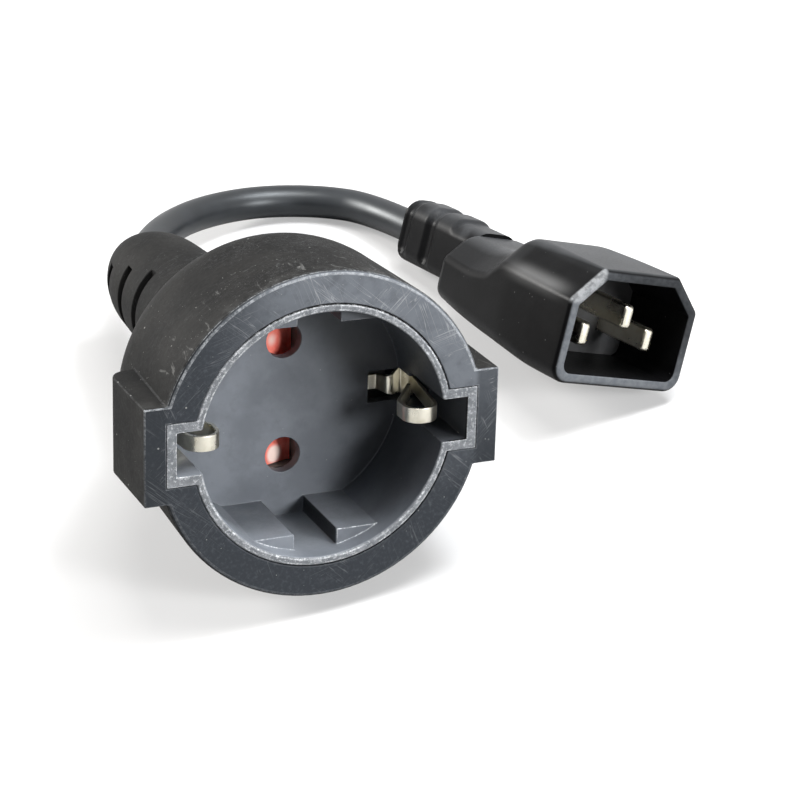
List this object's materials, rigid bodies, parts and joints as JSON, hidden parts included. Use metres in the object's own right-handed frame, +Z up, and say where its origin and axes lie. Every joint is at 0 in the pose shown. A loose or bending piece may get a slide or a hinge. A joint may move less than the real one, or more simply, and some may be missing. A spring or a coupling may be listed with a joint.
{
  "type": "power adapter cord",
  "caption": "Short mains adapter cord: a round earthed socket coupler with side clips and a sliding shutter, a looped cord and an inlet plug with flat pins.",
  "frame": {"origin": "on the level plate the part rests on, under the middle of the socket moulding", "axes": "+Y from the socket's mouth towards the cord, +X towards the plug, +Z up; the socket's own axis looks 10.4 degrees up at its mouth and it leans 6.8 degrees towards the plug"},
  "size_m": [0.1092, 0.1225, 0.0545],
  "materials": {
    "moulding": "satin soft plastic, scuffed",
    "insert": "hard plastic, worn grey edges",
    "inner_plastic": "plain",
    "contact_brass": "plain",
    "clip_plate": "nickel plated",
    "shutter_red": "satin",
    "spring_steel": "bright",
    "sheath": "satin soft plastic",
    "pin_plate": "nickel plated",
    "core_brown": "plain",
    "core_blue": "plain",
    "core_green": "green and yellow"
  },
  "bodies": {
    "socket": {"outer_moulding": "moulding", "socket_cup": "insert", "contact_carrier": "inner_plastic", "carrier_cap": "inner_plastic", "live_contact": "contact_brass", "neutral_contact": "contact_brass", "earth_bracket": "clip_plate", "shutter_spring": "spring_steel", "socket_live_core": "core_brown", "socket_neutral_core": "core_blue", "socket_earth_core": "core_green", "cord_sheath": "sheath", "plug_moulding": "moulding", "pin_carrier": "insert", "live_pin": "pin_plate", "neutral_pin": "pin_plate", "earth_pin": "pin_plate", "plug_live_core": "core_brown", "plug_neutral_core": "core_blue", "plug_earth_core": "core_green"},
    "shutter": {"shutter": "shutter_red"}
  },
  "joints": [
    {"name": "shutter_slide", "type": "slide", "parent": "socket", "child": "shutter", "axis": [-0.993, 0.0213, 0.1159], "range_m": [0, 0.0063], "stiffness_N_per_m": 60, "springref_m": -0.003, "deforming": ["shutter_spring"]}
  ]
}
